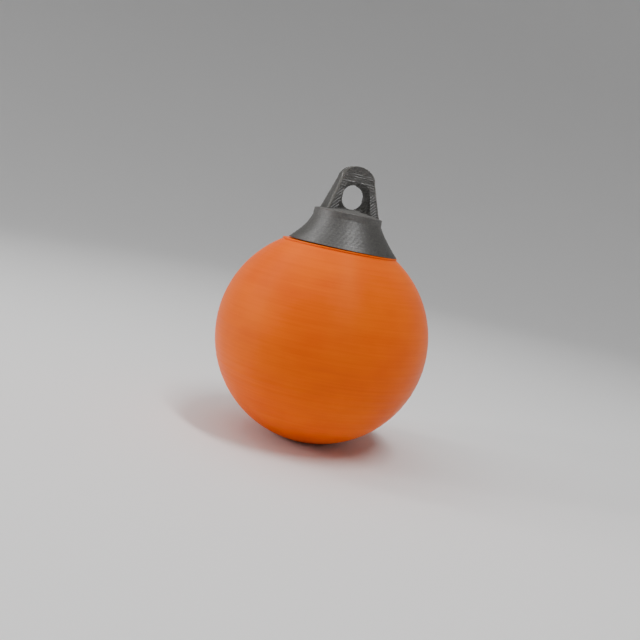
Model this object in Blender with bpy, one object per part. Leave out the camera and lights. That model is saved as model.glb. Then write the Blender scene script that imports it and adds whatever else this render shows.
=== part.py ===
"""A hanging ball the size of a table tennis ball: a hollow printed ball whose top is cut flat, and a
separate flared cap with an eye, whose plug closes the ball's mouth and pulls straight out of it.

The ball stands on a small flat at its lowest point, centred on the origin, and +Z is the axis of both
pieces. The eye's opening runs along Y.
"""

import math

import bmesh
import bpy

MM = 0.001

# Ball
BALL_RADIUS = 20.0 * MM
BASE_RADIUS = 4.0 * MM
RIM_RADIUS = 10.7 * MM
RIM_BAND = 0.3 * MM
WALL = 1.2 * MM
ROOF = 1.6 * MM
MOUTH_RADIUS = 7.0 * MM
COLLAR_WALL = 1.4 * MM
COLLAR_DEPTH = 6.0 * MM

# Cap: heights are above the ball's rim
CLEARANCE = 0.3 * MM
SKIRT_RADIUS = 10.4 * MM
NECK_RADIUS = 6.4 * MM
FLARE_TOP = 5.4 * MM
FLARE_POWER = 1.38
NECK_TOP = 6.35 * MM
NECK_ROUND = 0.2 * MM
CROWN = 0.75 * MM
PLUG_LENGTH = 5.5 * MM
PLUG_CHAMFER = 0.6 * MM

# Eye: heights are above the neck's top edge
EYE_ROOT = 1.0 * MM
EYE_HALF_WIDTH = 5.3 * MM
EYE_SHOULDER_HALF_WIDTH = 3.4 * MM
EYE_SHOULDER_HEIGHT = 6.2 * MM
EYE_HEIGHT = 8.8 * MM
EYE_THICKNESS = 4.2 * MM
EYE_TAPER = 0.31
EYE_BEVEL = 0.22 * MM

# Opening of the eye: an arch on each face, an ellipse in the middle
ARCH_FLOOR = 0.2 * MM
ARCH_FOOT_HALF_WIDTH = 3.35 * MM
ARCH_SPRING_HEIGHT = 4.4 * MM
ARCH_SPRING_HALF_WIDTH = 2.55 * MM
ARCH_TOP = 5.9 * MM
HOLE_HALF_WIDTH = 2.06 * MM
HOLE_BOTTOM = 0.85 * MM
HOLE_TOP = 5.3 * MM

TURN_STEPS = 64
SPHERE_STEPS = 22
EYE_ARC_STEPS = 14
HOLE_STEPS = 40
AXIS_MERGE = 0.001 * MM
SHARP_ANGLE = math.radians(32)

BALL_CENTRE_HEIGHT = math.sqrt(BALL_RADIUS**2 - BASE_RADIUS**2)
RIM_BAND_FOOT = BALL_CENTRE_HEIGHT + math.sqrt(BALL_RADIUS**2 - RIM_RADIUS**2)
RIM_HEIGHT = RIM_BAND_FOOT + RIM_BAND


def clear_scene():
    for obj in list(bpy.data.objects):
        bpy.data.objects.remove(obj, do_unlink=True)


def plastic(name, colour, roughness):
    material = bpy.data.materials.new(name)
    material.use_nodes = True
    shader = material.node_tree.nodes["Principled BSDF"]
    shader.inputs["Base Color"].default_value = (*colour, 1)
    shader.inputs["Roughness"].default_value = roughness
    shader.inputs["Metallic"].default_value = 0
    return material


def new_object(name, bm, material=None):
    """An object made from the bmesh, shaded smooth with its edges kept sharp."""
    bmesh.ops.recalc_face_normals(bm, faces=bm.faces)
    mesh = bpy.data.meshes.new(name)
    bm.to_mesh(mesh)
    bm.free()
    mesh.shade_smooth()
    mesh.set_sharp_from_angle(angle=SHARP_ANGLE)
    if material:
        mesh.materials.append(material)
    obj = bpy.data.objects.new(name, mesh)
    bpy.context.scene.collection.objects.link(obj)
    return obj


def as_helper(obj):
    obj.hide_render = True
    obj.display_type = "WIRE"
    return obj


def add_boolean(obj, operation, other):
    modifier = obj.modifiers.new(other.name, "BOOLEAN")
    modifier.operation = operation
    modifier.solver = "EXACT"
    modifier.object = other


def turned(profile):
    """The bmesh of a profile of (radius, height) points, from axis to axis, spun about Z."""
    bm = bmesh.new()
    verts = [bm.verts.new((radius, 0, height)) for radius, height in profile]
    edges = [bm.edges.new(pair) for pair in zip(verts, verts[1:])]
    bmesh.ops.spin(
        bm,
        geom=verts + edges,
        cent=(0, 0, 0),
        axis=(0, 0, 1),
        angle=math.tau,
        steps=TURN_STEPS,
        use_merge=True,
    )
    bmesh.ops.remove_doubles(bm, verts=bm.verts, dist=AXIS_MERGE)
    return bm


def sphere_arc(radius, start_height, end_height, steps):
    """Profile points on a sphere about the ball's centre, from one height to another, evenly turned."""
    start = math.asin((start_height - BALL_CENTRE_HEIGHT) / radius)
    end = math.asin((end_height - BALL_CENTRE_HEIGHT) / radius)
    angles = [start + (end - start) * i / steps for i in range(steps + 1)]
    return [(radius * math.cos(a), BALL_CENTRE_HEIGHT + radius * math.sin(a)) for a in angles]


def ball_profile():
    """Up the inside from the floor, round the collar and the mouth, and down the outside to the base."""
    inner_radius = BALL_RADIUS - WALL
    floor = BALL_CENTRE_HEIGHT - inner_radius
    ceiling = RIM_HEIGHT - ROOF
    collar_end = RIM_HEIGHT - COLLAR_DEPTH
    collar_radius = MOUTH_RADIUS + COLLAR_WALL
    inside = sphere_arc(inner_radius, floor, ceiling, SPHERE_STEPS - 4)
    inside[0] = (0, floor)
    collar = [
        (collar_radius, ceiling),
        (collar_radius, collar_end),
        (MOUTH_RADIUS, collar_end),
        (MOUTH_RADIUS, RIM_HEIGHT),
    ]
    rim = [(RIM_RADIUS, RIM_HEIGHT)]
    outside = sphere_arc(BALL_RADIUS, RIM_BAND_FOOT, 0, SPHERE_STEPS)
    return inside + collar + rim + outside + [(0, 0)]


def make_ball(material):
    return new_object("ball_shell", turned(ball_profile()), material)


def flare_radius(height):
    """The skirt's concave outline: it would meet the rim at SKIRT_RADIUS, and ends upright at the neck."""
    return NECK_RADIUS + (SKIRT_RADIUS - NECK_RADIUS) * (1 - height / FLARE_TOP) ** FLARE_POWER


def cap_profile():
    """Out over the crown, down the neck and the flare, in under the skirt and down the plug."""
    plug_radius = MOUTH_RADIUS - CLEARANCE
    crown_edge = NECK_RADIUS - NECK_ROUND
    crown_steps, flare_steps = 6, 9
    crown = []
    for i in range(crown_steps + 1):
        radius = crown_edge * i / crown_steps
        crown.append((radius, NECK_TOP + CROWN * (1 - (radius / crown_edge) ** 2)))
    neck = [(NECK_RADIUS, NECK_TOP - NECK_ROUND)]
    flare = []
    for i in range(flare_steps + 1):
        height = FLARE_TOP + (CLEARANCE - FLARE_TOP) * i / flare_steps
        flare.append((flare_radius(height), height))
    under = [
        (plug_radius, CLEARANCE),
        (plug_radius, PLUG_CHAMFER - PLUG_LENGTH),
        (plug_radius - PLUG_CHAMFER, -PLUG_LENGTH),
        (0, -PLUG_LENGTH),
    ]
    return crown + neck + flare + under


def eye_half_thickness(height):
    """Half the eye's depth along Y, which tapers towards its top."""
    return (EYE_THICKNESS - EYE_TAPER * height) / 2


def eye_outline():
    """(x, height above the neck) round the eye: straight legs that lean in, and an elliptical arch."""
    lean = (EYE_HALF_WIDTH - EYE_SHOULDER_HALF_WIDTH) / EYE_SHOULDER_HEIGHT
    foot = EYE_HALF_WIDTH + lean * EYE_ROOT
    arch_rise = EYE_HEIGHT - EYE_SHOULDER_HEIGHT
    outline = [(-foot, -EYE_ROOT), (foot, -EYE_ROOT)]
    for i in range(EYE_ARC_STEPS + 1):
        angle = math.pi * i / EYE_ARC_STEPS
        outline.append(
            (EYE_SHOULDER_HALF_WIDTH * math.cos(angle), EYE_SHOULDER_HEIGHT + arch_rise * math.sin(angle))
        )
    return outline


def bridged_solid(rings):
    """The bmesh of a closed solid through rings of equally many points, with a face at each end."""
    bm = bmesh.new()
    rows = [[bm.verts.new(point) for point in ring] for ring in rings]
    for row, after in zip(rows, rows[1:]):
        for i in range(len(row)):
            bm.faces.new((row[i - 1], row[i], after[i], after[i - 1]))
    bm.faces.new(rows[0])
    bm.faces.new(rows[-1])
    return bm


def make_eye():
    """The eye's solid body, before its opening is cut. Its root sinks into the neck."""
    outline = eye_outline()
    rings = []
    for side in (-1, 1):
        rings.append([(x, side * eye_half_thickness(z), NECK_TOP + z) for x, z in outline])
    eye = as_helper(new_object("eye_body", bridged_solid(rings)))
    bevel = eye.modifiers.new("edges", "BEVEL")
    bevel.width = EYE_BEVEL
    bevel.segments = 2
    bevel.limit_method = "ANGLE"
    bevel.angle_limit = math.radians(40)
    return eye


def arch_point(turn):
    """(x, height) on the arch that opens on each face of the eye, for a turn of 0 to 1 about it."""
    eighth = 1 / 8
    if turn <= 0.5:
        angle = math.tau * turn
        rise = ARCH_TOP - ARCH_SPRING_HEIGHT
        return ARCH_SPRING_HALF_WIDTH * math.cos(angle), ARCH_SPRING_HEIGHT + rise * math.sin(angle)
    if turn < 5 * eighth:
        down, side = (turn - 0.5) / eighth, -1
    elif turn > 7 * eighth:
        down, side = (1 - turn) / eighth, 1
    else:
        across = (turn - 5 * eighth) / (2 * eighth)
        return ARCH_FOOT_HALF_WIDTH * (2 * across - 1), ARCH_FLOOR
    half_width = ARCH_SPRING_HALF_WIDTH + (ARCH_FOOT_HALF_WIDTH - ARCH_SPRING_HALF_WIDTH) * down
    return side * half_width, ARCH_SPRING_HEIGHT + (ARCH_FLOOR - ARCH_SPRING_HEIGHT) * down


def ellipse_point(turn):
    """(x, height) on the narrowest section of the opening, halfway through the eye."""
    angle = math.tau * turn
    middle, half_height = (HOLE_TOP + HOLE_BOTTOM) / 2, (HOLE_TOP - HOLE_BOTTOM) / 2
    return HOLE_HALF_WIDTH * math.cos(angle), middle + half_height * math.sin(angle)


def make_opening():
    """The cutter of the eye's opening, which narrows from an arch on each face to the ellipse."""
    beyond = 1.0 * MM
    past_face = 0.05 * MM
    turns = [i / HOLE_STEPS for i in range(HOLE_STEPS)]
    arch = [arch_point(turn) for turn in turns]
    rings = []
    for side, extra in ((-1, beyond), (-1, past_face), (0, 0), (1, past_face), (1, beyond)):
        section = arch if side else [ellipse_point(turn) for turn in turns]
        rings.append([(x, side * (eye_half_thickness(z) + extra), NECK_TOP + z) for x, z in section])
    return as_helper(new_object("eye_opening", bridged_solid(rings)))


def make_cap(material):
    cap = new_object("eye_cap", turned(cap_profile()), material)
    eye = make_eye()
    opening = make_opening()
    add_boolean(eye, "DIFFERENCE", opening)
    add_boolean(cap, "UNION", eye)
    for helper in (eye, opening):
        helper.parent = cap
    cap.location.z = RIM_HEIGHT
    return cap


def main():
    clear_scene()
    make_ball(plastic("orange_pla", (0.86, 0.12, 0.0), 0.5))
    make_cap(plastic("black_pla", (0.04, 0.038, 0.033), 0.45))


main()
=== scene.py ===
"""Looks of the hanging ball: an orange printed ball and a black printed cap with an eye, both with their
real layers, on a pale floor in soft light. Meshes are made in millimetres and scaled to metres at the end.
"""

import math
import random

import bmesh
import bpy
import numpy as np
from mathutils import Matrix, Vector, noise


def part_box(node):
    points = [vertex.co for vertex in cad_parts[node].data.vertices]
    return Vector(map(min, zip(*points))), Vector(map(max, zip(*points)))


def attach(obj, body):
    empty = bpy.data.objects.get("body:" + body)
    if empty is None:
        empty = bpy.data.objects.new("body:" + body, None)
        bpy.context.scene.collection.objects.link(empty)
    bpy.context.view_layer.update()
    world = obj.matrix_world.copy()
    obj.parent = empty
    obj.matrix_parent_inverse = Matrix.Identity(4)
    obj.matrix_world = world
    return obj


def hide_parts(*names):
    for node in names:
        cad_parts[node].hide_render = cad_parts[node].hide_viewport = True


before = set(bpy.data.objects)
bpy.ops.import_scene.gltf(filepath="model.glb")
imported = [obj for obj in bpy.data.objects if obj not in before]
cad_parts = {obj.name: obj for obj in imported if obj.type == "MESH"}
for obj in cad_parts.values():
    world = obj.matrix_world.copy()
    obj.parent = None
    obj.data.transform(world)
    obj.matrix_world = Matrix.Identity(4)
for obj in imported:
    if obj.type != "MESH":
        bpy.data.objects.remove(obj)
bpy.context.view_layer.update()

MM = 0.001
TOLERANCE = 0.01

# Places taken from the frame, in millimetres
BALL_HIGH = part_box("ball_shell")[1] / MM
CAP_LOW, CAP_HIGH = (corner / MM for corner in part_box("eye_cap"))
RIM_HEIGHT = BALL_HIGH.z
PLUG_END = CAP_LOW.z - RIM_HEIGHT

# Ball
BALL_RADIUS = 20.0
BASE_RADIUS = 4.0
CENTRE_HEIGHT = math.sqrt(BALL_RADIUS**2 - BASE_RADIUS**2)
RIM_RADIUS = 10.7
RIM_BEAD = 0.14
RIM_BEAD_SLOPE = 0.16
RIM_EDGE = 0.1
RIM_EDGE_DROP = 0.01
RIM_RINGS_MARGIN = 0.25
RIM_BAND_FOOT = CENTRE_HEIGHT + math.sqrt(BALL_RADIUS**2 - RIM_RADIUS**2)
WALL = 1.2
ROOF = 1.6
PLAIN_WITHIN = BALL_RADIUS - WALL + 0.1
PLAIN_ABOVE = 1
MOUTH_RADIUS = 7.0
MOUTH_EDGE = 0.1
COLLAR_RADIUS = 8.4
COLLAR_DEPTH = 6.0
COLLAR_ROUND = 0.1
INSIDE_STEPS = 36
BALL_TURN_STEPS = 120

# Cap: heights are above the ball's rim
SKIRT_FOOT = 0.13
SKIRT_RADIUS = 10.4
NECK_RADIUS = 6.4
FLARE_TOP = 5.4
FLARE_POWER = 1.38
NECK_TOP = 6.35
NECK_CHAMFER = 0.04
CROWN = 0.75
CROWN_STEP = 0.05
CROWN_MARGIN = 0.12
PLUG_RADIUS = 6.6
PLUG_CHAMFER = 0.6
SKIRT_UNDERSIDE = (PLUG_RADIUS + 0.6, SKIRT_RADIUS - 0.3)
CAP_TURN_STEPS = 160
CAP_SHIFT = 0.22
CAP_TILT = 0.5
SKIRT_DRIFT = 0.28
SKIRT_DRIFT_FADE = 2.2
EYE_DRIFT = 0.17

# Eye: heights are above the neck's top edge
EYE_ROOT = 0.9
EYE_HALF_WIDTH = 5.3
EYE_SHOULDER_HALF_WIDTH = 3.4
EYE_SHOULDER_HEIGHT = 6.2
EYE_HEIGHT = CAP_HIGH.z - RIM_HEIGHT - NECK_TOP
EYE_THICKNESS = 4.2
EYE_TAPER = 0.31
EYE_BEVEL = 0.4
EYE_BEVEL_SEGMENTS = 4
EYE_BEVEL_DEGREES = 40
EYE_SHARP_DEGREES = 50
EYE_ARC_STEPS = 40
ARCH_FLOOR = 0.2
ARCH_FOOT_HALF_WIDTH = 3.35
ARCH_SPRING_HEIGHT = 4.4
ARCH_SPRING_HALF_WIDTH = 2.55
ARCH_TOP = 5.9
ARCH_SQUARENESS = 0.8
HOLE_HALF_WIDTH = 2.06
HOLE_BOTTOM = 0.85
HOLE_TOP = 5.3
HOLE_SHIFT = -0.11
OPENING_STEPS = 96
OPENING_POWER = 1.3

# Sagging strands under the hole's top: (how deep, where across, how wide)
HOLE_DROOPS = ((0.10, 0.9, 0.5), (0.16, 0.45, 0.13))

# Sections of the opening through the eye: (share of its half thickness, mm past its face)
OPENING_SECTIONS = ((-1, 1.0), (-1, 0.02), (-0.5, 0), (0, 0), (0.5, 0), (1, 0.02), (1, 1.0))

# Where the eye is cut so that its printed lines can stand out: x, y and shares of a layer
EYE_CUTS_ACROSS = np.arange(-5.4, 5.5, 0.12)
EYE_CUTS_DEEP = np.arange(-1.95, 2.0, 0.15)
EYE_LAYER_CUTS = (0.02, 0.2, 0.8)
EYE_GROOVE_SHARE = 0.1
EYE_STEP_LIMIT = 0.1
NEARLY_LEVEL = 0.05

# Print
LAYER = 0.2
LAYER_FACE = (0.2, 0.8)
LINE_WIDTH = 0.42
LINE_CREST = (0.25, 0.75)
LAST_RING = 0.3
CROWN_LAST_RING = 0.2
BALL_GROOVE = 0.008
CAP_GROOVE = 0.04
FLAT_GROOVE = 0.02
CROWN_GROOVE = 0.015
BALL_BEAD = 0.75
CAP_BEAD = 0.25
BALL_BANDING = 0.0045
BALL_WANDER = 0.004
CAP_WANDER = 0.03
EYE_WANDER = 0.025
BALL_WAVE, BALL_ROUGH = 0.006, 0.003
CAP_WAVE, CAP_ROUGH = 0.012, 0.02

# Waves of the ball's banding: (relative size, mm from wave to wave, phase)
BANDING_WAVES = ((1.0, 1.56, 0.0), (1.0, 1.27, 1.0), (0.8, 2.56, 2.0), (0.5, 0.79, 0.0))
BANDING_HEIGHT = 11
BANDING_SPREAD = 7
BANDING_EVERYWHERE, BANDING_BELOW = 0.4, 1.5

# The vertical seam where each layer of the ball starts, in degrees round it and millimetres out
SEAM_DEGREES = 68
SEAM_OFFSETS = (-0.9, -0.5, -0.2, 0.2, 0.5, 0.9)
SEAM_SHIFT = 0.3
SEAM_WIDTH = 0.5
SEAM_LEAST, SEAM_MOST = 0.01, 0.05

# Lines on the eye: how far they stand out and how far apart they are
EDGE_LINE = 0.07
EDGE_LINE_REACH = 0.7
EDGE_LINE_SLOPE = 0.12
LEVEL_LINE = 0.036
LEVEL_LINE_SPACING = 0.47
SLANTING_LINE = 0.03
SLANTING_GROOVE = 0.11
SLANTING_LINE_SPACING = 0.6
SLANTING_TOP = 4.6
SLANTING_FADE = 0.6
FAINT_ABOVE = 7.9
FAINT_FADE = 0.7
FAINTEST = 0.35
SIDE_STREAK = 0.12
SIDE_GRAIN = 0.02
EYE_GRAIN = 0.012

# Camera: its place as seen from the ball's centre, and where that centre is in the frame, in frame widths
VIEW_AZIMUTH = -22.0
VIEW_ELEVATION = 9.1
VIEW_ROLL = 11.65
VIEW_DISTANCE = 7 * BALL_RADIUS
LENS = 41.6
SENSOR = 36.0
CENTRE_OFFSET = (0.0024, -0.0263)

# Lights: (name, degrees round from the camera, elevation, metres away, width and height, watts, spread)
LIGHTS = (
    ("overhead", -100, 77, 0.5, (0.45, 0.45), 1.1, 178),
    ("left_strip", -94, 36, 0.36, (0.04, 0.34), 0.145, 120),
    ("front_strip", 38, 68, 0.45, (0.035, 0.22), 0.52, 120),
    ("edge_strip", -74, 17, 0.3, (0.025, 0.11), 0.13, 140),
)
WORLD_COLOUR = (0.9, 0.95, 1.0, 1)
WORLD_STRENGTH = 0.13

# Floor and the wall that it curves up into, in metres
FLOOR_RADIUS = 0.33
CURVE_RADIUS = 0.36
WALL_TOP = 0.9
CURVE_STEPS = 24
FLOOR_TURN_STEPS = 96
FLOOR_DROP = 0.00002
FLOOR_COLOUR = (0.84, 0.835, 0.83, 1)

# Linear colours of the plastics
ORANGE_DEEP = (0.80, 0.098, 0.0)
ORANGE_BRIGHT = (0.92, 0.140, 0.0)
BLACK_DEEP = (0.016, 0.0148, 0.0125)
BLACK_GREYED = (0.070, 0.065, 0.055)
# The last grey is a painted highlight for the eye's rounded edges, not the plastic's own colour
BLACK_EDGE_HIGHLIGHT = (0.12, 0.115, 0.10, 1)

# How much the fine layers, beside the broad patches, change the orange
LAYER_SHARE = 0.6

# The black plastic's painted highlight along the eye's rounded edges (a lighter grey base colour there),
# and its duller level tops
EDGE_HIGHLIGHT_STRENGTH = 0.8
EDGE_SMOOTHING = -0.24
TOP_DULLING = (("From Min", 0.72), ("From Max", 0.88), ("To Min", 0.0), ("To Max", 0.5))

# The sockets of a Mix node that mixes colours, which share their names with its other sockets
MIX_A, MIX_B, MIX_RESULT = 6, 7, 2


def toward(azimuth, elevation):
    """The direction from the ball to something at an azimuth and elevation, in degrees."""
    a, e = math.radians(azimuth), math.radians(elevation)
    return Vector((math.sin(a) * math.cos(e), -math.cos(a) * math.cos(e), math.sin(e)))


CAMERA_RIGHT = toward(VIEW_AZIMUTH + 90, 0)


def finish_mesh(name, bm, material, sharp=None):
    """An object from a bmesh made in millimetres, smooth but for edges sharper than so many degrees."""
    bmesh.ops.recalc_face_normals(bm, faces=bm.faces)
    mesh = bpy.data.meshes.new(name)
    bm.to_mesh(mesh)
    bm.free()
    mesh.transform(Matrix.Scale(MM, 4))
    mesh.shade_smooth()
    if sharp:
        mesh.set_sharp_from_angle(angle=math.radians(sharp))
    mesh.materials.append(material)
    obj = bpy.data.objects.new(name, mesh)
    bpy.context.scene.collection.objects.link(obj)
    return obj


def turned(rows, angles, shape):
    """The bmesh of (radius, height) rows spun through the angles, where shape(radius, height, angle) is the
    radius that a point gets."""
    bm = bmesh.new()
    rings = []
    for radius, height in rows:
        if radius == 0:
            rings.append([bm.verts.new((0, 0, height))])
            continue
        ring = []
        for angle in angles:
            r = shape(radius, height, angle)
            ring.append(bm.verts.new((r * math.sin(angle), -r * math.cos(angle), height)))
        rings.append(ring)
    for lower, upper in zip(rings, rings[1:]):
        for i in range(len(angles)):
            if len(lower) == 1:
                bm.faces.new((lower[0], upper[i - 1], upper[i]))
            elif len(upper) == 1:
                bm.faces.new((lower[i - 1], lower[i], upper[0]))
            else:
                bm.faces.new((lower[i - 1], lower[i], upper[i], upper[i - 1]))
    return bm


def layered(outline, bottom, top, groove, bead=0.0, wander=None):
    """Rows up a printed wall, with a groove between layers. A bead's face is upright at 0 and follows the
    outline at 1."""
    rows = []
    count = round((top - bottom) / LAYER)
    height = (top - bottom) / count
    drift = [wander(bottom + (i + 0.5) * height) if wander else 0 for i in range(count)]
    radii = [outline(bottom + (i + 0.5) * height) + drift[i] for i in range(count)]
    for i, radius in enumerate(radii):
        low = bottom + i * height
        if i:
            step = (min(radius, radii[i - 1]), (radius + radii[i - 1]) / 2)
            rows.append((step[0] + (step[1] - step[0]) * bead - groove, low))
        for share in LAYER_FACE:
            followed = outline(low + share * height) + drift[i]
            rows.append((radius + (followed - radius) * bead, low + share * height))
    return rows


def ringed(outer, inner, height, groove):
    """Rows across a printed flat, from one radius to another: the lines lie side by side as rings."""
    rows = []
    count = max(1, round(abs(outer - inner) / LINE_WIDTH))
    step = (inner - outer) / count
    for i in range(count):
        start = outer + i * step
        rows.append((start, height - groove))
        rows += [(start + share * step, height) for share in LINE_CREST]
    return rows


def ball_outline(height):
    """The ball's outer radius: its sphere, and the upright band under the rim, whose last layer bulges and
    slopes in to the top."""
    if height <= RIM_BAND_FOOT:
        return math.sqrt(max(BALL_RADIUS**2 - (height - CENTRE_HEIGHT) ** 2, 0))
    if height < RIM_HEIGHT - LAYER:
        return RIM_RADIUS
    return RIM_RADIUS + RIM_BEAD * min((RIM_HEIGHT - height) / RIM_BEAD_SLOPE, 1)


def banding(height):
    """The slow wander of the layers' radius, which shows as faint bands, most of it below the middle."""
    low = math.exp(-(((height - BANDING_HEIGHT) / BANDING_SPREAD) ** 2))
    waves = 0
    for size, spacing, phase in BANDING_WAVES:
        waves += size * math.sin(height * math.tau / spacing + phase)
    return BALL_BANDING * (BANDING_EVERYWHERE + BANDING_BELOW * low) * waves


def surface_noise(angle, height, around, along):
    """Noise at a point of a turned surface, as fine around and along the axis as these two numbers say."""
    return noise.noise((math.cos(angle) * around, math.sin(angle) * around, height * along))


def make_ball(material):
    """The hollow ball, from the middle of its inside over the mouth and rim to the middle of its base."""
    random.seed(4)
    inner = BALL_RADIUS - WALL
    floor = CENTRE_HEIGHT - inner
    ceiling = RIM_HEIGHT - ROOF
    collar_end = RIM_HEIGHT - COLLAR_DEPTH
    rows = [(0, floor)]
    upper_turn = math.asin((ceiling - CENTRE_HEIGHT) / inner)
    for i in range(1, INSIDE_STEPS + 1):
        turn = -math.pi / 2 + (upper_turn + math.pi / 2) * i / INSIDE_STEPS
        rows.append((inner * math.cos(turn), CENTRE_HEIGHT + inner * math.sin(turn)))
    rows += [(COLLAR_RADIUS, ceiling), (COLLAR_RADIUS, collar_end + COLLAR_ROUND)]
    rows += [(COLLAR_RADIUS - COLLAR_ROUND, collar_end), (MOUTH_RADIUS + COLLAR_ROUND, collar_end)]
    mouth = layered(lambda z: MOUTH_RADIUS, collar_end, RIM_HEIGHT, BALL_GROOVE)
    rows += [(2 * MOUTH_RADIUS - r, z) for r, z in mouth]
    rows += ringed(MOUTH_RADIUS + MOUTH_EDGE, RIM_RADIUS - RIM_RINGS_MARGIN, RIM_HEIGHT, FLAT_GROOVE)
    rows += [(RIM_RADIUS - RIM_EDGE, RIM_HEIGHT), (RIM_RADIUS, RIM_HEIGHT - RIM_EDGE_DROP)]
    outside = layered(
        ball_outline,
        0,
        RIM_HEIGHT,
        BALL_GROOVE,
        BALL_BEAD,
        lambda z: banding(z) + random.uniform(-BALL_WANDER, BALL_WANDER),
    )
    rows += reversed(outside)
    rows += ringed(BASE_RADIUS, LAST_RING, 0, -FLAT_GROOVE)
    rows += [(0, 0)]
    seam = math.radians(SEAM_DEGREES)
    angles = [math.tau * i / BALL_TURN_STEPS for i in range(BALL_TURN_STEPS)]
    angles += [seam + math.radians(offset) for offset in SEAM_OFFSETS]
    angles = sorted(angle % math.tau for angle in angles)
    shifts = {}

    def shape(radius, height, angle):
        # The inside, the mouth and the narrower parts of the outside stay plain
        if radius < PLAIN_WITHIN and height > PLAIN_ABOVE:
            return radius
        layer = int(height / LAYER)
        if layer not in shifts:
            shift = random.uniform(-SEAM_SHIFT, SEAM_SHIFT)
            shifts[layer] = shift, random.uniform(SEAM_LEAST, SEAM_MOST)
        shift, bump = shifts[layer]
        turn = math.degrees((angle - seam + math.pi) % math.tau - math.pi)
        ridge = bump * math.exp(-(((turn - shift) / SEAM_WIDTH) ** 2))
        wave = surface_noise(angle, height, 3, 1.4)
        rough = surface_noise(angle, layer, 12, 3.7)
        return radius + ridge + BALL_WAVE * wave + BALL_ROUGH * rough

    return finish_mesh("ball", turned(rows, angles, shape), material)


def cap_outline(height):
    """The cap's outer radius at a height above the rim: the concave flare and the neck."""
    if height < FLARE_TOP:
        return NECK_RADIUS + (SKIRT_RADIUS - NECK_RADIUS) * (1 - height / FLARE_TOP) ** FLARE_POWER
    return NECK_RADIUS


def place_on_ball(piece, height, drift):
    """Puts a piece of the cap on the rim, where the cap sits a little to one side and leans that way."""
    lean = Matrix.Rotation(math.radians(CAP_TILT), 4, Vector((0, 0, 1)).cross(CAMERA_RIGHT))
    foot = Matrix.Translation((CAMERA_RIGHT * CAP_SHIFT + Vector((0, 0, RIM_HEIGHT))) * MM)
    lift = Matrix.Translation((CAMERA_RIGHT * drift + Vector((0, 0, height))) * MM)
    piece.matrix_world = foot @ lean @ lift


def plug_outline(height):
    """The plug's radius at a height above the rim, with a chamfer at its end."""
    return PLUG_RADIUS - max(PLUG_END + PLUG_CHAMFER - height, 0)


def make_cap(material):
    """The plug, skirt, neck and crown, from the plug's end upward."""
    random.seed(9)
    rows = [(0, PLUG_END), (PLUG_RADIUS - PLUG_CHAMFER, PLUG_END)]
    rows += layered(plug_outline, PLUG_END, SKIRT_FOOT, CAP_GROOVE)
    rows += [(radius, SKIRT_FOOT) for radius in SKIRT_UNDERSIDE]
    rows += layered(
        cap_outline,
        SKIRT_FOOT,
        NECK_TOP,
        CAP_GROOVE,
        CAP_BEAD,
        lambda z: random.uniform(-CAP_WANDER, CAP_WANDER),
    )
    rows += [(NECK_RADIUS, NECK_TOP), (NECK_RADIUS - NECK_CHAMFER, NECK_TOP + NECK_CHAMFER)]
    rings = ringed(NECK_RADIUS - CROWN_MARGIN, CROWN_LAST_RING, NECK_TOP + CROWN_STEP, CROWN_GROOVE)
    for radius, height in rings:
        rows.append((radius, height + (CROWN - CROWN_STEP) * (1 - (radius / NECK_RADIUS) ** 2)))
    rows += [(0, NECK_TOP + CROWN)]
    angles = [math.tau * i / CAP_TURN_STEPS for i in range(CAP_TURN_STEPS)]

    def shape(radius, height, angle):
        wave = surface_noise(angle, height, 4, 2.5)
        rough = surface_noise(angle, height, 14, 9)
        return radius + CAP_WAVE * wave + CAP_ROUGH * rough

    bm = turned(rows, angles, shape)
    for vert in bm.verts:
        if vert.co.z > SKIRT_FOOT - TOLERANCE:
            share = min(SKIRT_DRIFT_FADE * max(1 - vert.co.z / FLARE_TOP, 0), 1)
            vert.co += CAMERA_RIGHT * SKIRT_DRIFT * share
    cap = finish_mesh("cap", bm, material)
    place_on_ball(cap, 0, 0)
    return cap


def eye_half_thickness(height):
    """Half the eye's depth at a height above the neck's top edge."""
    return (EYE_THICKNESS - EYE_TAPER * height) / 2


def eye_half_width(height):
    """Half the eye's width at a height above the neck's top edge."""
    if height < EYE_SHOULDER_HEIGHT:
        return EYE_HALF_WIDTH - (EYE_HALF_WIDTH - EYE_SHOULDER_HALF_WIDTH) * height / EYE_SHOULDER_HEIGHT
    up = (height - EYE_SHOULDER_HEIGHT) / (EYE_HEIGHT - EYE_SHOULDER_HEIGHT)
    return EYE_SHOULDER_HALF_WIDTH * math.sqrt(max(1 - up**2, 0))


def eye_outline():
    """(x, height above the neck) round the eye: legs that lean in, and an elliptical arch."""
    lean = (EYE_HALF_WIDTH - EYE_SHOULDER_HALF_WIDTH) / EYE_SHOULDER_HEIGHT
    foot = EYE_HALF_WIDTH + lean * EYE_ROOT
    rise = EYE_HEIGHT - EYE_SHOULDER_HEIGHT
    outline = [(-foot, -EYE_ROOT), (foot, -EYE_ROOT)]
    for i in range(EYE_ARC_STEPS + 1):
        angle = math.pi * i / EYE_ARC_STEPS
        x, up = EYE_SHOULDER_HALF_WIDTH * math.cos(angle), rise * math.sin(angle)
        outline.append((x, EYE_SHOULDER_HEIGHT + up))
    return outline


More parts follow.
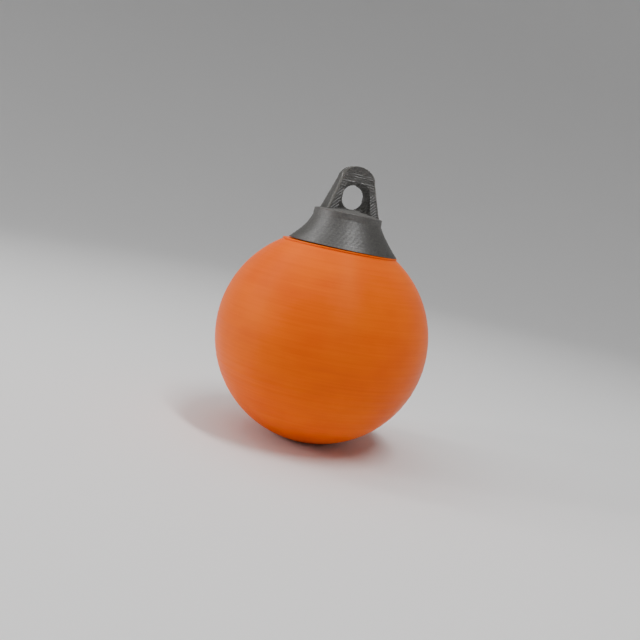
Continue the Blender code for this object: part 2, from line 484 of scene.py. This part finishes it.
def arch_point(turn):
    """(x, height) on the arch that opens on each face of the eye, for a turn of 0 to 1 about it."""
    eighth = 1 / 8
    if turn <= 0.5:
        angle = math.tau * turn
        across = math.copysign(abs(math.cos(angle)) ** ARCH_SQUARENESS, math.cos(angle))
        rise = (ARCH_TOP - ARCH_SPRING_HEIGHT) * math.sin(angle) ** ARCH_SQUARENESS
        return ARCH_SPRING_HALF_WIDTH * across, ARCH_SPRING_HEIGHT + rise
    if turn < 5 * eighth:
        down, side = (turn - 0.5) / eighth, -1
    elif turn > 7 * eighth:
        down, side = (1 - turn) / eighth, 1
    else:
        across = (turn - 5 * eighth) / (2 * eighth)
        return ARCH_FOOT_HALF_WIDTH * (2 * across - 1), ARCH_FLOOR
    half_width = ARCH_SPRING_HALF_WIDTH + (ARCH_FOOT_HALF_WIDTH - ARCH_SPRING_HALF_WIDTH) * down
    return side * half_width, ARCH_SPRING_HEIGHT + (ARCH_FLOOR - ARCH_SPRING_HEIGHT) * down


def ellipse_point(turn):
    """(x, height) on the ellipse that the opening narrows to halfway through, with its sagging strands."""
    angle = math.tau * turn
    middle, half_height = (HOLE_TOP + HOLE_BOTTOM) / 2, (HOLE_TOP - HOLE_BOTTOM) / 2
    x, z = HOLE_HALF_WIDTH * math.cos(angle), middle + half_height * math.sin(angle)
    if z > middle:
        z -= sum(deep * math.exp(-(((x - across) / wide) ** 2)) for deep, across, wide in HOLE_DROOPS)
    return x + HOLE_SHIFT, z


def bridged_solid(rings):
    """The bmesh of a solid with the rings as its cross-sections and flat ends."""
    bm = bmesh.new()
    rows = [[bm.verts.new(point) for point in ring] for ring in rings]
    for row, after in zip(rows, rows[1:]):
        for i in range(len(row)):
            bm.faces.new((row[i - 1], row[i], after[i], after[i - 1]))
    bm.faces.new(rows[0])
    bm.faces.new(rows[-1])
    bmesh.ops.recalc_face_normals(bm, faces=bm.faces)
    return bm


def temporary(name, bm):
    """An object that modifiers need, which is removed after them."""
    mesh = bpy.data.meshes.new(name)
    bm.to_mesh(mesh)
    bm.free()
    obj = bpy.data.objects.new(name, mesh)
    bpy.context.scene.collection.objects.link(obj)
    return obj


def eye_solid():
    """The bmesh of the eye with its opening, in millimetres, before its layers."""
    outline = eye_outline()
    rings = [[(x, side * eye_half_thickness(z), z) for x, z in outline] for side in (-1, 1)]
    eye = temporary("eye_body", bridged_solid(rings))
    bevel = eye.modifiers.new("edges", "BEVEL")
    bevel.width = EYE_BEVEL
    bevel.segments = EYE_BEVEL_SEGMENTS
    bevel.limit_method = "ANGLE"
    bevel.angle_limit = math.radians(EYE_BEVEL_DEGREES)
    rings = []
    for side, extra in OPENING_SECTIONS:
        share = abs(side) ** OPENING_POWER
        ring = []
        for i in range(OPENING_STEPS):
            ax, az = arch_point(i / OPENING_STEPS)
            ex, ez = ellipse_point(i / OPENING_STEPS)
            y = side * eye_half_thickness(az) + math.copysign(extra, side)
            ring.append((ex + (ax - ex) * share, y, ez + (az - ez) * share))
        rings.append(ring)
    opening = temporary("eye_opening", bridged_solid(rings))
    cut = eye.modifiers.new("opening", "BOOLEAN")
    cut.operation = "DIFFERENCE"
    cut.object = opening
    bpy.context.view_layer.update()
    graph = bpy.context.evaluated_depsgraph_get()
    bm = bmesh.new()
    bm.from_mesh(eye.evaluated_get(graph).to_mesh())
    for obj in (eye, opening):
        mesh = obj.data
        bpy.data.objects.remove(obj)
        bpy.data.meshes.remove(mesh)
    return bm


def cut_levels(bm, axis, levels):
    """Cuts the faces where planes across an axis cross them."""
    for level in levels:
        point = [0, 0, 0]
        point[axis] = level
        normal = [0, 0, 0]
        normal[axis] = 1
        geometry = bm.verts[:] + bm.edges[:] + bm.faces[:]
        bmesh.ops.bisect_plane(bm, geom=geometry, dist=1e-5, plane_co=point, plane_no=normal)


def eye_lines(place, normal):
    """How far the printed lines stand out: level ones at the top, slanting ones on the legs, and streaks
    along the sides."""
    x, y, z = place
    on_leg = min(max((SLANTING_TOP - z) / SLANTING_FADE, 0), 1)
    broken = 0.8 + 0.5 * noise.noise(place * 0.9)
    strength = min(max((FAINT_ABOVE - z) / FAINT_FADE, FAINTEST), 1)
    level_wave = math.sin(math.tau * z / LEVEL_LINE_SPACING + 2 * noise.noise(place * 0.5))
    level = LEVEL_LINE * level_wave * broken * strength
    slanting_wave = (0.5 + 0.5 * math.sin(math.tau * (x - z) / SLANTING_LINE_SPACING)) ** 3
    slanting = SLANTING_LINE - SLANTING_GROOVE * slanting_wave * broken
    faces = level + (slanting - level) * on_leg
    streaks = SIDE_STREAK * noise.noise((x * 0.3, y * 2.6, z * 0.35)) + SIDE_GRAIN * noise.noise(place * 4)
    on_side = min(abs(normal.x) ** 2 * 1.3, 1)
    return faces + (streaks - faces) * on_side + EYE_GRAIN * noise.noise(place * 3.1)


def on_edge(place, normal):
    """Whether a point is on the rounded edge between the eye's face and its side, where a line is laid."""
    outer = abs(place.x) > eye_half_width(place.z) - EDGE_LINE_REACH
    return outer and min(abs(normal.x), abs(normal.y)) > EDGE_LINE_SLOPE


def make_eye(material):
    """The eye, with every point moved along its level normal by the groove and the lines there."""
    random.seed(21)
    bm = eye_solid()
    layers = round((EYE_HEIGHT + EYE_ROOT) / LAYER)
    height = (EYE_HEIGHT + EYE_ROOT) / layers
    cut_levels(bm, 0, EYE_CUTS_ACROSS)
    cut_levels(bm, 1, EYE_CUTS_DEEP)
    cut_levels(bm, 2, [-EYE_ROOT + (i + share) * height for i in range(layers) for share in EYE_LAYER_CUTS])
    bm.normal_update()
    wander = [random.uniform(-EYE_WANDER, EYE_WANDER) for _ in range(layers + 1)]
    # The edge attribute also tells the black plastic where to paint its lighter grey edge highlight
    edge = bm.verts.layers.float.new("edge")
    moves = []
    for vert in bm.verts:
        vert[edge] = on_edge(vert.co, vert.normal)
        flat = Vector((vert.normal.x, vert.normal.y, 0))
        steep = flat.length
        if steep < NEARLY_LEVEL:
            moves.append(Vector())
            continue
        layer = int((vert.co.z + EYE_ROOT) / height + 0.001)
        within = (vert.co.z + EYE_ROOT) / height - layer
        slope = vert.normal.z / steep
        step = max(min(slope * (within - 0.5) * height, EYE_STEP_LIMIT), -EYE_STEP_LIMIT)
        groove = CAP_GROOVE if within < EYE_GROOVE_SHARE else 0
        lines = EDGE_LINE if vert[edge] else eye_lines(vert.co, vert.normal)
        moves.append(flat / steep * (step - groove + wander[min(layer, layers)] + lines))
    for vert, move in zip(bm.verts, moves):
        vert.co += move
    bmesh.ops.triangulate(bm, faces=bm.faces)
    eye = finish_mesh("eye", bm, material, EYE_SHARP_DEGREES)
    place_on_ball(eye, NECK_TOP, EYE_DRIFT)
    return eye


def principled(name):
    """A new material with its node tree and its Principled BSDF."""
    material = bpy.data.materials.new(name)
    material.use_nodes = True
    tree = material.node_tree
    return material, tree, tree.nodes["Principled BSDF"]


def add(tree, kind, **values):
    """A node whose inputs or settings with these names have these values."""
    node = tree.nodes.new(kind)
    for key, value in values.items():
        if key in node.inputs:
            node.inputs[key].default_value = value
        else:
            setattr(node, key, value)
    return node


def ramp(tree, source, stops):
    """A colour ramp over the source, with a colour at each (position, colour) stop."""
    node = tree.nodes.new("ShaderNodeValToRGB")
    elements = node.color_ramp.elements
    while len(elements) < len(stops):
        elements.new(0.5)
    for element, (position, colour) in zip(elements, stops):
        element.position = position
        element.color = (*colour, 1)
    tree.links.new(source, node.inputs["Fac"])
    return node.outputs["Color"]


def stretched_noise(tree, scale, detail):
    """Noise on the object's own coordinates, stretched round the axis so that it follows the layers."""
    coordinates = add(tree, "ShaderNodeTexCoord")
    mapping = add(tree, "ShaderNodeMapping")
    mapping.inputs["Scale"].default_value = scale
    tree.links.new(coordinates.outputs["Object"], mapping.inputs["Vector"])
    texture = add(tree, "ShaderNodeTexNoise", Scale=1.0, Detail=detail)
    tree.links.new(mapping.outputs["Vector"], texture.inputs["Vector"])
    return texture.outputs["Fac"]


def add_bump(tree, shader, sources):
    """A chain of bump nodes, one for each (height, strength, distance)."""
    normal = None
    for source, strength, distance in sources:
        bump = add(tree, "ShaderNodeBump", Strength=strength, Distance=distance)
        tree.links.new(source, bump.inputs["Height"])
        if normal:
            tree.links.new(normal, bump.inputs["Normal"])
        normal = bump.outputs["Normal"]
    tree.links.new(normal, shader.inputs["Normal"])


def orange_plastic():
    """Satin orange whose shine runs round the layers, a little translucent."""
    material, tree, shader = principled("orange_plastic")
    layers = stretched_noise(tree, (60, 60, 2600), 3)
    patches = stretched_noise(tree, (90, 90, 160), 2)
    grain = stretched_noise(tree, (3500, 3500, 7000), 2)
    mixed = add(tree, "ShaderNodeMath", operation="MULTIPLY_ADD")
    tree.links.new(layers, mixed.inputs[0])
    mixed.inputs[1].default_value = LAYER_SHARE
    tree.links.new(patches, mixed.inputs[2])
    colour = ramp(tree, mixed.outputs[0], [(0.45, ORANGE_DEEP), (1.0, ORANGE_BRIGHT)])
    tree.links.new(colour, shader.inputs["Base Color"])
    roughness = add(tree, "ShaderNodeMapRange")
    roughness.inputs["To Min"].default_value = 0.42
    roughness.inputs["To Max"].default_value = 0.56
    tree.links.new(patches, roughness.inputs["Value"])
    tree.links.new(roughness.outputs["Result"], shader.inputs["Roughness"])
    shader.inputs["IOR"].default_value = 1.46
    shader.inputs["Specular IOR Level"].default_value = 0.22
    shader.inputs["Anisotropic"].default_value = 0.8
    shader.inputs["Anisotropic Rotation"].default_value = 0.25
    tangent = add(tree, "ShaderNodeTangent", direction_type="RADIAL", axis="Z")
    tree.links.new(tangent.outputs["Tangent"], shader.inputs["Tangent"])
    shader.inputs["Specular Tint"].default_value = (1.0, 0.6, 0.15, 1)
    shader.inputs["Subsurface Weight"].default_value = 0.12
    shader.inputs["Subsurface Radius"].default_value = (1.0, 0.3, 0.05)
    shader.inputs["Subsurface Scale"].default_value = 0.0008
    add_bump(tree, shader, [(layers, 0.12, 0.00002), (grain, 0.15, 0.00001)])
    return material


def black_plastic():
    """Rough black with a greyed grain, dull on its level tops, with a painted highlight: a lighter grey
    base colour where edge is 1.
    """
    material, tree, shader = principled("black_plastic")
    layers = stretched_noise(tree, (300, 300, 5000), 3)
    grain = stretched_noise(tree, (3000, 3000, 3600), 3)
    patches = stretched_noise(tree, (500, 500, 700), 2)
    colour = ramp(tree, grain, [(0.35, BLACK_DEEP), (0.7, BLACK_GREYED)])
    # Painted highlight: where edge is 1 the base colour is mixed toward a lighter grey, standing in for the
    # light that the rounded edges catch
    edge = add(tree, "ShaderNodeAttribute", attribute_name="edge")
    edge_highlight_mix = add(tree, "ShaderNodeMix", data_type="RGBA")
    edge_highlight_share = add(tree, "ShaderNodeMath", operation="MULTIPLY")
    tree.links.new(edge.outputs["Fac"], edge_highlight_share.inputs[0])
    edge_highlight_share.inputs[1].default_value = EDGE_HIGHLIGHT_STRENGTH
    tree.links.new(edge_highlight_share.outputs["Value"], edge_highlight_mix.inputs["Factor"])
    tree.links.new(colour, edge_highlight_mix.inputs[MIX_A])
    edge_highlight_mix.inputs[MIX_B].default_value = BLACK_EDGE_HIGHLIGHT
    tree.links.new(edge_highlight_mix.outputs[MIX_RESULT], shader.inputs["Base Color"])
    roughness = add(tree, "ShaderNodeMapRange")
    roughness.inputs["To Min"].default_value = 0.36
    roughness.inputs["To Max"].default_value = 0.52
    tree.links.new(patches, roughness.inputs["Value"])
    facing = add(tree, "ShaderNodeSeparateXYZ")
    tree.links.new(add(tree, "ShaderNodeTexCoord").outputs["Normal"], facing.inputs["Vector"])
    on_top = add(tree, "ShaderNodeMapRange")
    for socket, value in TOP_DULLING:
        on_top.inputs[socket].default_value = value
    tree.links.new(facing.outputs["Z"], on_top.inputs["Value"])
    total = add(tree, "ShaderNodeMath", operation="ADD")
    tree.links.new(roughness.outputs["Result"], total.inputs[0])
    tree.links.new(on_top.outputs["Result"], total.inputs[1])
    smoother = add(tree, "ShaderNodeMath", operation="MULTIPLY_ADD")
    tree.links.new(edge.outputs["Fac"], smoother.inputs[0])
    smoother.inputs[1].default_value = EDGE_SMOOTHING
    tree.links.new(total.outputs["Value"], smoother.inputs[2])
    tree.links.new(smoother.outputs["Value"], shader.inputs["Roughness"])
    shader.inputs["IOR"].default_value = 1.66
    shader.inputs["Specular IOR Level"].default_value = 0.95
    add_bump(tree, shader, [(layers, 0.35, 0.00004), (grain, 0.5, 0.00006)])
    return material


def make_stage():
    """A pale floor that curves up into a round wall, so that no horizon shows from any side."""
    rows = [(0, 0), (FLOOR_RADIUS, 0)]
    for i in range(1, CURVE_STEPS + 1):
        turn = math.pi / 2 * i / CURVE_STEPS
        rows.append((FLOOR_RADIUS + CURVE_RADIUS * math.sin(turn), CURVE_RADIUS * (1 - math.cos(turn))))
    rows.append((FLOOR_RADIUS + CURVE_RADIUS, WALL_TOP))
    bm = bmesh.new()
    verts = [bm.verts.new((x, 0, z)) for x, z in rows]
    edges = [bm.edges.new(pair) for pair in zip(verts, verts[1:])]
    bmesh.ops.spin(
        bm,
        geom=verts + edges,
        cent=(0, 0, 0),
        axis=(0, 0, 1),
        angle=math.tau,
        steps=FLOOR_TURN_STEPS,
        use_merge=True,
    )
    bmesh.ops.remove_doubles(bm, verts=bm.verts, dist=1e-5)
    bmesh.ops.recalc_face_normals(bm, faces=bm.faces)
    bmesh.ops.reverse_faces(bm, faces=bm.faces)
    mesh = bpy.data.meshes.new("floor")
    bm.to_mesh(mesh)
    bm.free()
    mesh.shade_smooth()
    material, _, shader = principled("pale_floor")
    shader.inputs["Base Color"].default_value = FLOOR_COLOUR
    shader.inputs["Roughness"].default_value = 0.75
    mesh.materials.append(material)
    floor = bpy.data.objects.new("floor", mesh)
    floor.location.z = -FLOOR_DROP
    bpy.context.scene.collection.objects.link(floor)


def add_area(name, azimuth, elevation, distance, size, power, spread):
    """A rectangular light that faces the ball's centre."""
    data = bpy.data.lights.new(name, "AREA")
    data.shape = "RECTANGLE"
    data.size, data.size_y = size
    data.energy = power
    data.spread = math.radians(spread)
    light = bpy.data.objects.new(name, data)
    centre = Vector((0, 0, CENTRE_HEIGHT * MM))
    light.location = centre + toward(azimuth, elevation) * distance
    light.rotation_euler = toward(azimuth, elevation).to_track_quat("Z", "Y").to_euler()
    bpy.context.scene.collection.objects.link(light)


def make_lights():
    """A dim cool sky, and the area lights round the object."""
    world = bpy.data.worlds.new("studio")
    world.use_nodes = True
    background = world.node_tree.nodes["Background"]
    background.inputs["Color"].default_value = WORLD_COLOUR
    background.inputs["Strength"].default_value = WORLD_STRENGTH
    bpy.context.scene.world = world
    for name, azimuth, *rest in LIGHTS:
        add_area(name, VIEW_AZIMUTH + azimuth, *rest)


def make_camera():
    """The camera at the photo's viewing angle, turned about its own axis as it was there."""
    away = toward(VIEW_AZIMUTH, VIEW_ELEVATION)
    up = away.cross(CAMERA_RIGHT)
    roll = math.radians(VIEW_ROLL)
    x_axis = CAMERA_RIGHT * math.cos(roll) + up * math.sin(roll)
    y_axis = up * math.cos(roll) - CAMERA_RIGHT * math.sin(roll)
    turn = Matrix((x_axis, y_axis, away)).transposed()
    to_centre = Vector((CENTRE_OFFSET[0] * SENSOR / LENS, CENTRE_OFFSET[1] * SENSOR / LENS, -1))
    turn = turn @ to_centre.rotation_difference(Vector((0, 0, -1))).to_matrix()
    data = bpy.data.cameras.new("camera")
    data.lens = LENS
    data.sensor_width = SENSOR
    data.clip_start = 0.01
    camera = bpy.data.objects.new("camera", data)
    place = Vector((0, 0, CENTRE_HEIGHT)) + away * VIEW_DISTANCE
    camera.matrix_world = Matrix.Translation(place * MM) @ turn.to_4x4()
    bpy.context.scene.collection.objects.link(camera)
    bpy.context.scene.camera = camera


orange, black = orange_plastic(), black_plastic()
ball = make_ball(orange)
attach(ball, "ball")
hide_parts("ball_shell")
for piece in (make_cap(black), make_eye(black)):
    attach(piece, "cap")
    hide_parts("eye_cap")

make_stage()
make_lights()
make_camera()
